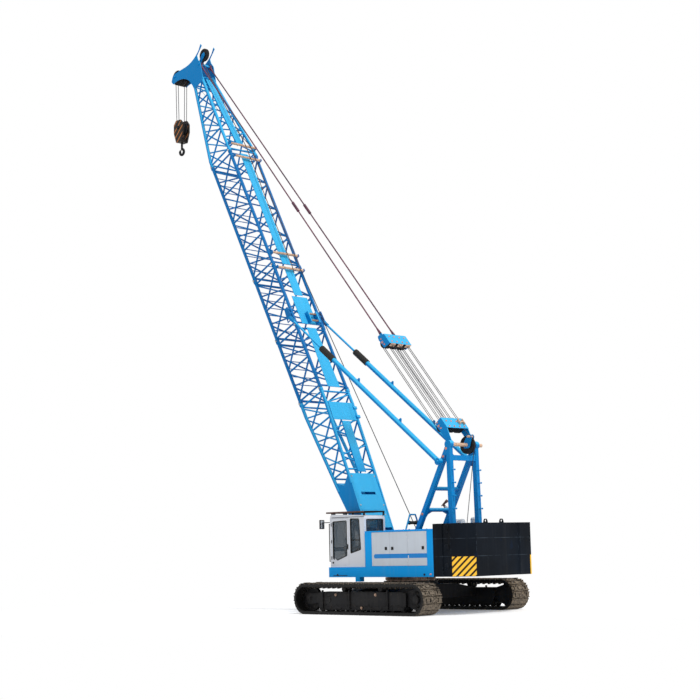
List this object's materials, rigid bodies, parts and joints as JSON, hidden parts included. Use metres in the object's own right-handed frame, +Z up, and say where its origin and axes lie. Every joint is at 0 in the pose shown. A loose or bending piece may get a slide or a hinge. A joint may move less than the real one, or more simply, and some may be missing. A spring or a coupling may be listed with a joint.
{
  "type": "dynamic compaction crane",
  "caption": "Tracked lattice boom crane for ground compaction, with cab, A-frame, luffing pendants, backstops, winches and a hook block.",
  "frame": {"origin": "on the ground under the middle of the overall length; the slewing axis stands 3.592 m behind it", "axes": "+X forward along the tracks and towards the boom head, +Y to the machine's left, +Z up"},
  "size_m": [14.3848, 4.64, 19.6085],
  "materials": {
    "track_steel": "worn steel under dry mud",
    "undercarriage_paint": "satin black paint, dusty",
    "machined_steel": "turned steel with a film of rust and grease",
    "body_blue": "gloss blue enamel",
    "boom_blue": "gloss blue enamel",
    "panel_grey": "gloss light grey enamel",
    "cab_grey": "gloss light grey enamel",
    "guard_black": "satin black paint",
    "weight_black": "satin black paint on rough castings",
    "window_glass": "clear tinted glass",
    "seat_cloth": "tan woven cloth",
    "engine_grey": "matt paint",
    "muffler_silver": "silver heat paint",
    "rope_steel": "greased wire rope",
    "pendant_maroon": "greased wire rope, dark maroon",
    "hook_paint": "satin black paint"
  },
  "bodies": {
    "undercarriage": {"carbody": "undercarriage_paint", "side_frames": "undercarriage_paint", "left_track": "track_steel", "right_track": "track_steel", "drive_sprockets": "undercarriage_paint", "idler_wheels": "undercarriage_paint", "track_rollers": "undercarriage_paint", "slewing_ring": "machined_steel"},
    "upper": {"deck": "body_blue", "engine": "engine_grey", "left_house": "body_blue", "right_house": "body_blue", "side_tank": "panel_grey", "cab_shell": "cab_grey", "cab_glass": "window_glass", "operator_seat": "seat_cloth", "roof_guard": "guard_black", "cab_mirror": "guard_black", "muffler": "muffler_silver", "winch_stands": "body_blue", "rope_hoop": "body_blue", "a_frame": "boom_blue", "counterweight": "weight_black"},
    "cab_door": {"cab_door": "cab_grey", "cab_door_glass": "window_glass"},
    "left_front_door": {"left_front_door": "panel_grey"},
    "left_middle_door": {"left_middle_door": "panel_grey"},
    "left_rear_door": {"left_rear_door": "panel_grey"},
    "right_front_door": {"right_front_door": "panel_grey"},
    "right_middle_door": {"right_middle_door": "panel_grey"},
    "right_rear_door": {"right_rear_door": "panel_grey"},
    "main_winch_drum": {"main_winch_drum": "machined_steel"},
    "second_winch_drum": {"second_winch_drum": "machined_steel"},
    "luffing_winch_drum": {"luffing_winch_drum": "machined_steel"},
    "apex_sheave": {"apex_sheave": "machined_steel"},
    "luffing_bail": {"luffing_bail": "boom_blue"},
    "bail_sheaves": {"bail_sheaves": "machined_steel"},
    "boom": {"boom_foot": "boom_blue", "boom_lower_insert": "boom_blue", "boom_middle_insert": "boom_blue", "boom_upper_insert": "boom_blue", "boom_head": "boom_blue", "boom_rear_plates": "boom_blue", "rope_guides": "machined_steel", "luffing_spreader": "boom_blue", "pendants": "pendant_maroon"},
    "spreader_sheaves": {"spreader_sheaves": "machined_steel"},
    "head_sheaves": {"head_sheaves": "machined_steel"},
    "tip_sheave": {"tip_sheave": "machined_steel"},
    "backstop_tubes": {"backstop_tubes": "boom_blue"},
    "backstop_rods": {"backstop_rods": "boom_blue"},
    "hook_block": {"hook_block": "hook_paint", "hoist_falls": "rope_steel"},
    "hook_sheaves": {"hook_sheaves": "machined_steel"},
    "hook": {"hook": "hook_paint"}
  },
  "joints": [
    {"name": "slew", "type": "hinge", "parent": "undercarriage", "child": "upper", "pos_m": [-3.59243, 0, 1.05], "axis": [0, 0, 1], "continuous": true},
    {"name": "boom_luff", "type": "hinge", "parent": "upper", "child": "boom", "pos_m": [-2.43543, 0, 1.909], "axis": [0, -1, 0], "range_deg": [-13.7, 14.3]},
    {"name": "bail_swing", "type": "hinge", "parent": "upper", "child": "luffing_bail", "pos_m": [-5.76243, 0, 4.79], "axis": [0, -1, 0], "range_deg": [-14, 15]},
    {"name": "backstop_swing", "type": "hinge", "parent": "upper", "child": "backstop_tubes", "pos_m": [-5.50071, 0, 4.3], "axis": [0, -1, 0], "range_deg": [-13, 13.5]},
    {"name": "backstop_slide", "type": "slide", "parent": "backstop_tubes", "child": "backstop_rods", "axis": [0.7797, 0, 0.6262], "range_m": [-0.96, 0.92]},
    {"name": "block_swing", "type": "hinge", "parent": "boom", "child": "hook_block", "pos_m": [6.92743, 0, 18.75431], "axis": [0, -1, 0], "range_deg": [-15, 15]},
    {"name": "hook_swivel", "type": "hinge", "parent": "hook_block", "child": "hook", "pos_m": [6.92743, 0, 16.45431], "axis": [0, 0, 1], "continuous": true},
    {"name": "hook_sheaves_spin", "type": "hinge", "parent": "hook_block", "child": "hook_sheaves", "pos_m": [6.92743, 0, 16.92431], "axis": [0, -1, 0], "continuous": true},
    {"name": "head_sheaves_spin", "type": "hinge", "parent": "boom", "child": "head_sheaves", "pos_m": [6.92743, 0, 18.75431], "axis": [0, -1, 0], "continuous": true},
    {"name": "tip_sheave_spin", "type": "hinge", "parent": "boom", "child": "tip_sheave", "pos_m": [5.51634, 0.09, 19.26208], "axis": [0, -1, 0], "continuous": true},
    {"name": "spreader_sheaves_spin", "type": "hinge", "parent": "boom", "child": "spreader_sheaves", "pos_m": [-3.15375, 0, 8.03043], "axis": [0, -1, 0], "continuous": true},
    {"name": "bail_sheaves_spin", "type": "hinge", "parent": "luffing_bail", "child": "bail_sheaves", "pos_m": [-5.31531, 0, 5.34539], "axis": [0, -1, 0], "continuous": true},
    {"name": "apex_sheave_spin", "type": "hinge", "parent": "upper", "child": "apex_sheave", "pos_m": [-5.76243, -0.25, 4.79], "axis": [0, -1, 0], "continuous": true},
    {"name": "main_winch_spin", "type": "hinge", "parent": "upper", "child": "main_winch_drum", "pos_m": [-3.74243, 0, 1.735], "axis": [0, -1, 0], "continuous": true},
    {"name": "second_winch_spin", "type": "hinge", "parent": "upper", "child": "second_winch_drum", "pos_m": [-4.51243, 0, 1.735], "axis": [0, -1, 0], "continuous": true},
    {"name": "luffing_winch_spin", "type": "hinge", "parent": "upper", "child": "luffing_winch_drum", "pos_m": [-5.25243, 0, 1.735], "axis": [0, -1, 0], "continuous": true},
    {"name": "cab_door_hinge", "type": "hinge", "parent": "upper", "child": "cab_door", "pos_m": [-2.57643, 1.55, 2], "axis": [0, 0, 1], "range_deg": [0, 100]},
    {"name": "left_front_door_hinge", "type": "hinge", "parent": "upper", "child": "left_front_door", "pos_m": [-3.56543, 1.59, 1.85], "axis": [0, 0, -1], "range_deg": [0, 85]},
    {"name": "left_middle_door_hinge", "type": "hinge", "parent": "upper", "child": "left_middle_door", "pos_m": [-4.97443, 1.59, 1.85], "axis": [0, 0, 1], "range_deg": [0, 85]},
    {"name": "left_rear_door_hinge", "type": "hinge", "parent": "upper", "child": "left_rear_door", "pos_m": [-4.98043, 1.59, 1.85], "axis": [0, 0, -1], "range_deg": [0, 85]},
    {"name": "right_front_door_hinge", "type": "hinge", "parent": "upper", "child": "right_front_door", "pos_m": [-3.56543, -1.59, 1.85], "axis": [0, 0, 1], "range_deg": [0, 85]},
    {"name": "right_middle_door_hinge", "type": "hinge", "parent": "upper", "child": "right_middle_door", "pos_m": [-4.97443, -1.59, 1.85], "axis": [0, 0, -1], "range_deg": [0, 85]},
    {"name": "right_rear_door_hinge", "type": "hinge", "parent": "upper", "child": "right_rear_door", "pos_m": [-4.98043, -1.59, 1.85], "axis": [0, 0, 1], "range_deg": [0, 85]}
  ],
  "couplings": [
    {"joint": "bail_swing", "follows": "boom_luff", "ratio": 1},
    {"joint": "backstop_swing", "follows": "boom_luff", "ratio": 0.893},
    {"joint": "backstop_slide", "follows": "boom_luff", "m_per_rad": -3.76},
    {"joint": "block_swing", "follows": "boom_luff", "ratio": -1}
  ]
}
